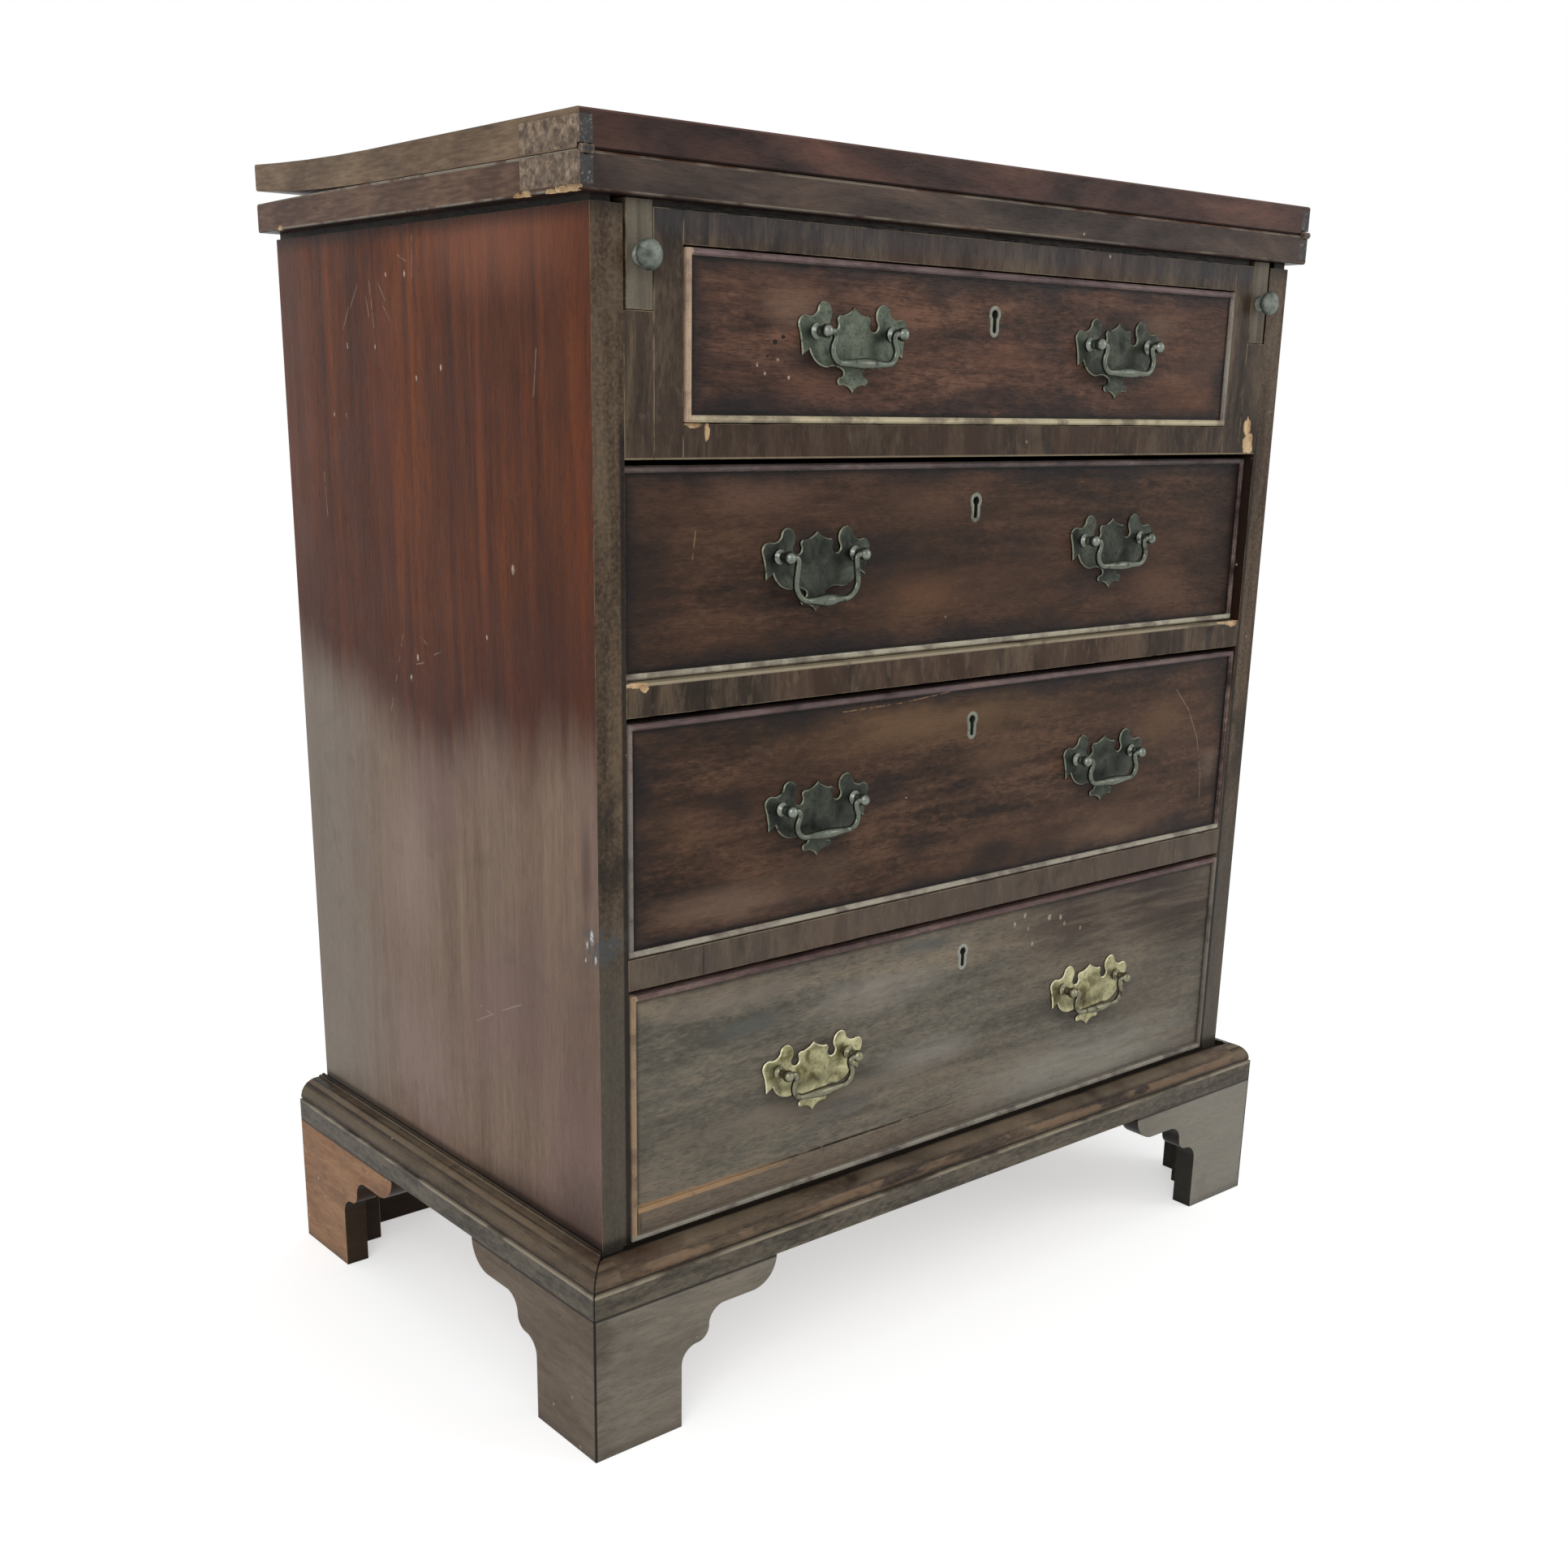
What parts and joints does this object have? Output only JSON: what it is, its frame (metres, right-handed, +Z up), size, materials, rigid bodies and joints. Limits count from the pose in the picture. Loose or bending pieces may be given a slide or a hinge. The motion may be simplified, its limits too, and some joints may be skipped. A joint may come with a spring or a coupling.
{
  "type": "bachelors chest",
  "caption": "Small mahogany chest of graduated drawers with a fold-over top on pull-out lopers, brass bail handles, cockbeaded fronts and scrolled bracket feet.",
  "frame": {"origin": "on the floor under the middle of the overall box", "axes": "+Z up, the drawers face -Y, +X to the right of someone facing the drawers"},
  "size_m": [0.689, 0.418, 0.8142],
  "materials": {
    "case_mahogany": "worn french polish",
    "leaf_mahogany": "worn french polish",
    "drawer_mahogany": "worn french polish",
    "bead_mahogany": "worn, rubbed pale",
    "secondary_oak": "bare, aged",
    "handle_brass": "tarnished",
    "hinge_brass": "corroded",
    "knob_brass": "dark bronze patina",
    "lock_iron": "bare, aged"
  },
  "bodies": {
    "carcass": {"side_left": "case_mahogany", "side_right": "case_mahogany", "frieze_rail": "case_mahogany", "rail_upper": "case_mahogany", "rail_middle": "case_mahogany", "rail_lower": "case_mahogany", "front_stiles": "case_mahogany", "loper_runners": "case_mahogany", "base_moulding": "case_mahogany", "foot_front_left": "case_mahogany", "foot_front_right": "case_mahogany", "foot_rear_left": "case_mahogany", "foot_rear_right": "case_mahogany", "carcass_bottom": "secondary_oak", "dustboards": "secondary_oak", "loper_partitions": "secondary_oak", "sub_top": "secondary_oak", "back_boards": "secondary_oak", "drawer_stops": "secondary_oak", "fixed_leaf": "leaf_mahogany", "hinge_plates_fixed": "hinge_brass"},
    "fold_top": {"fold_leaf": "leaf_mahogany", "hinge_plates_fold": "hinge_brass"},
    "loper_left": {"loper_left": "case_mahogany", "loper_knob_left": "knob_brass"},
    "loper_right": {"loper_right": "case_mahogany", "loper_knob_right": "knob_brass"},
    "drawer_1": {"drawer_1_front": "drawer_mahogany", "drawer_1_box": "secondary_oak", "drawer_1_bottom": "secondary_oak", "drawer_1_cockbeads": "bead_mahogany", "drawer_1_brasses": "handle_brass"},
    "drawer_1_lock_bolt": {"drawer_1_lock_bolt": "lock_iron"},
    "drawer_1_bail_left": {"drawer_1_bail_left": "handle_brass"},
    "drawer_1_bail_right": {"drawer_1_bail_right": "handle_brass"},
    "drawer_2": {"drawer_2_front": "drawer_mahogany", "drawer_2_box": "secondary_oak", "drawer_2_bottom": "secondary_oak", "drawer_2_cockbeads": "bead_mahogany", "drawer_2_brasses": "handle_brass"},
    "drawer_2_lock_bolt": {"drawer_2_lock_bolt": "lock_iron"},
    "drawer_2_bail_left": {"drawer_2_bail_left": "handle_brass"},
    "drawer_2_bail_right": {"drawer_2_bail_right": "handle_brass"},
    "drawer_3": {"drawer_3_front": "drawer_mahogany", "drawer_3_box": "secondary_oak", "drawer_3_bottom": "secondary_oak", "drawer_3_cockbeads": "bead_mahogany", "drawer_3_brasses": "handle_brass"},
    "drawer_3_lock_bolt": {"drawer_3_lock_bolt": "lock_iron"},
    "drawer_3_bail_left": {"drawer_3_bail_left": "handle_brass"},
    "drawer_3_bail_right": {"drawer_3_bail_right": "handle_brass"},
    "drawer_4": {"drawer_4_front": "drawer_mahogany", "drawer_4_box": "secondary_oak", "drawer_4_bottom": "secondary_oak", "drawer_4_cockbeads": "bead_mahogany", "drawer_4_brasses": "handle_brass"},
    "drawer_4_lock_bolt": {"drawer_4_lock_bolt": "lock_iron"},
    "drawer_4_bail_left": {"drawer_4_bail_left": "handle_brass"},
    "drawer_4_bail_right": {"drawer_4_bail_right": "handle_brass"}
  },
  "joints": [
    {"name": "top_fold", "type": "hinge", "parent": "carcass", "child": "fold_top", "pos_m": [0, -0.1943, 0.7905], "axis": [1, 0, 0], "range_deg": [0, 180]},
    {"name": "loper_left_slide", "type": "slide", "parent": "carcass", "child": "loper_left", "axis": [0, -1, 0], "range_m": [0, 0.26]},
    {"name": "loper_right_slide", "type": "slide", "parent": "carcass", "child": "loper_right", "axis": [0, -1, 0], "range_m": [0, 0.26]},
    {"name": "drawer_1_slide", "type": "slide", "parent": "carcass", "child": "drawer_1", "axis": [0, -1, 0], "range_m": [0, 0.3]},
    {"name": "drawer_1_bolt_throw", "type": "slide", "parent": "drawer_1", "child": "drawer_1_lock_bolt", "axis": [0, 0, 1], "range_m": [0, 0.009]},
    {"name": "drawer_1_bail_left_swing", "type": "hinge", "parent": "drawer_1", "child": "drawer_1_bail_left", "pos_m": [-0.1265, -0.1981, 0.70445], "axis": [-1, 0, 0], "range_deg": [-21, 100]},
    {"name": "drawer_1_bail_right_swing", "type": "hinge", "parent": "drawer_1", "child": "drawer_1_bail_right", "pos_m": [0.1265, -0.1981, 0.70445], "axis": [-1, 0, 0], "range_deg": [-21, 100]},
    {"name": "drawer_2_slide", "type": "slide", "parent": "carcass", "child": "drawer_2", "axis": [0, -1, 0], "range_m": [0, 0.3]},
    {"name": "drawer_2_bolt_throw", "type": "slide", "parent": "drawer_2", "child": "drawer_2_lock_bolt", "axis": [0, 0, 1], "range_m": [0, 0.009]},
    {"name": "drawer_2_bail_left_swing", "type": "hinge", "parent": "drawer_2", "child": "drawer_2_bail_left", "pos_m": [-0.145, -0.1891, 0.56955], "axis": [-1, 0, 0], "range_deg": [-13, 100]},
    {"name": "drawer_2_bail_right_swing", "type": "hinge", "parent": "drawer_2", "child": "drawer_2_bail_right", "pos_m": [0.145, -0.1891, 0.56955], "axis": [-1, 0, 0], "range_deg": [-21, 100]},
    {"name": "drawer_3_slide", "type": "slide", "parent": "carcass", "child": "drawer_3", "axis": [0, -1, 0], "range_m": [0, 0.3]},
    {"name": "drawer_3_bolt_throw", "type": "slide", "parent": "drawer_3", "child": "drawer_3_lock_bolt", "axis": [0, 0, 1], "range_m": [0, 0.009]},
    {"name": "drawer_3_bail_left_swing", "type": "hinge", "parent": "drawer_3", "child": "drawer_3_bail_left", "pos_m": [-0.145, -0.1956, 0.40855], "axis": [-1, 0, 0], "range_deg": [-21, 100]},
    {"name": "drawer_3_bail_right_swing", "type": "hinge", "parent": "drawer_3", "child": "drawer_3_bail_right", "pos_m": [0.145, -0.1956, 0.40855], "axis": [-1, 0, 0], "range_deg": [-21, 100]},
    {"name": "drawer_4_slide", "type": "slide", "parent": "carcass", "child": "drawer_4", "axis": [0, -1, 0], "range_m": [0, 0.3]},
    {"name": "drawer_4_bolt_throw", "type": "slide", "parent": "drawer_4", "child": "drawer_4_lock_bolt", "axis": [0, 0, 1], "range_m": [0, 0.009]},
    {"name": "drawer_4_bail_left_swing", "type": "hinge", "parent": "drawer_4", "child": "drawer_4_bail_left", "pos_m": [-0.145, -0.1976, 0.22605], "axis": [-1, 0, 0], "range_deg": [-21, 100]},
    {"name": "drawer_4_bail_right_swing", "type": "hinge", "parent": "drawer_4", "child": "drawer_4_bail_right", "pos_m": [0.145, -0.1976, 0.22605], "axis": [-1, 0, 0], "range_deg": [-21, 100]}
  ]
}
